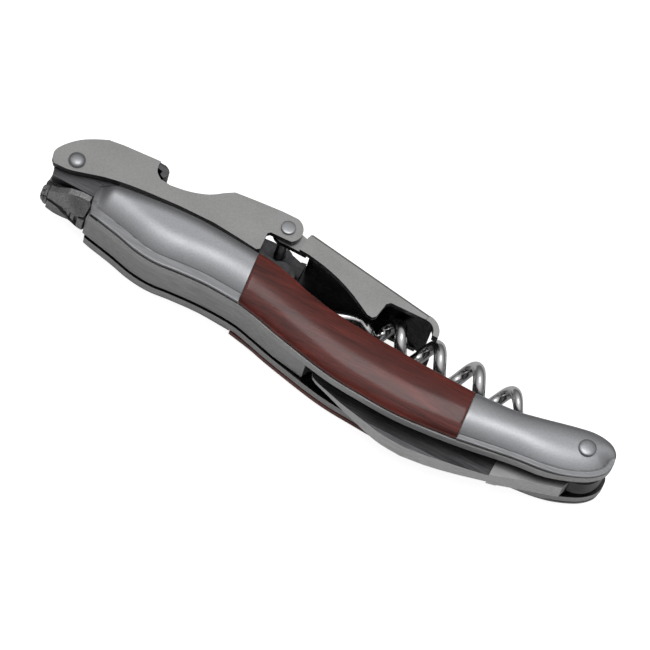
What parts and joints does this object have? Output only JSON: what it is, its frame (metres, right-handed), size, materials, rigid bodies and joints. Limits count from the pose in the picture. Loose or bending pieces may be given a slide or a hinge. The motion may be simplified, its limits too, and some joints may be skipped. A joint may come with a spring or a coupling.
{
  "type": "lever corkscrew",
  "caption": "Folding pocket corkscrew with a double-step lever, a wire worm, a folding foil knife and wood grips between satin steel bolsters, shown closed.",
  "frame": {"origin": "middle of the closed tool's bounding box, on the handle's middle plane", "axes": "+X along the closed tool towards the knife pivot, +Y out of the lever and worm side, +Z square to the flat sides; the tool rests on its -Z side"},
  "size_m": [0.1232, 0.0312, 0.0158],
  "materials": {
    "liner_steel": "brushed sheet, edges ground",
    "satin_steel": "satin, bead blasted",
    "grip_wood": "smooth red-brown hardwood, oiled",
    "spring_steel": "brushed along its length",
    "pin_steel": "turned and set",
    "cast_steel": "cast, dark in the recesses, rims polished",
    "spacer_steel": "plain washer",
    "lever_sheet": "matt pressed sheet",
    "worm_wire": "polished plating",
    "blade_steel": "ground blade, bright spine"
  },
  "bodies": {
    "handle": {"front_liner": "liner_steel", "back_liner": "liner_steel", "front_head_bolster": "satin_steel", "back_head_bolster": "satin_steel", "front_tail_bolster": "satin_steel", "back_tail_bolster": "satin_steel", "front_wood_scale": "grip_wood", "back_wood_scale": "grip_wood", "backspring": "spring_steel", "spring_pin_head": "pin_steel", "spring_pin_middle": "pin_steel", "bee_ornament": "cast_steel", "lever_hinge_pin": "pin_steel", "worm_pivot_pin": "pin_steel", "worm_spacer_front": "spacer_steel", "worm_spacer_back": "spacer_steel", "knife_pivot_pin": "pin_steel", "knife_washer_front": "spacer_steel", "knife_washer_back": "spacer_steel"},
    "lever": {"lever_arm": "lever_sheet", "lever_middle_pin": "pin_steel"},
    "foot": {"lever_foot": "lever_sheet"},
    "worm": {"worm": "worm_wire"},
    "knife": {"knife_blade": "blade_steel"}
  },
  "joints": [
    {"name": "lever_hinge", "type": "hinge", "parent": "handle", "child": "lever", "pos_m": [-0.05684, 0.0044, 0], "axis": [0, 0, 1], "range_deg": [0, 160]},
    {"name": "foot_hinge", "type": "hinge", "parent": "lever", "child": "foot", "pos_m": [-0.01494, 0.0127, 0], "axis": [0, 0, 1], "range_deg": [0, 125]},
    {"name": "worm_hinge", "type": "hinge", "parent": "handle", "child": "worm", "pos_m": [-0.01204, 0.0036, 0], "axis": [0, 0, 1], "range_deg": [0, 90]},
    {"name": "knife_hinge", "type": "hinge", "parent": "handle", "child": "knife", "pos_m": [0.05566, -0.0003, 0], "axis": [0, 0, 1], "range_deg": [0, 180]}
  ],
  "couplings": [
    {"joint": "worm_hinge", "follows": "lever_hinge", "ratio": 0.5625}
  ]
}
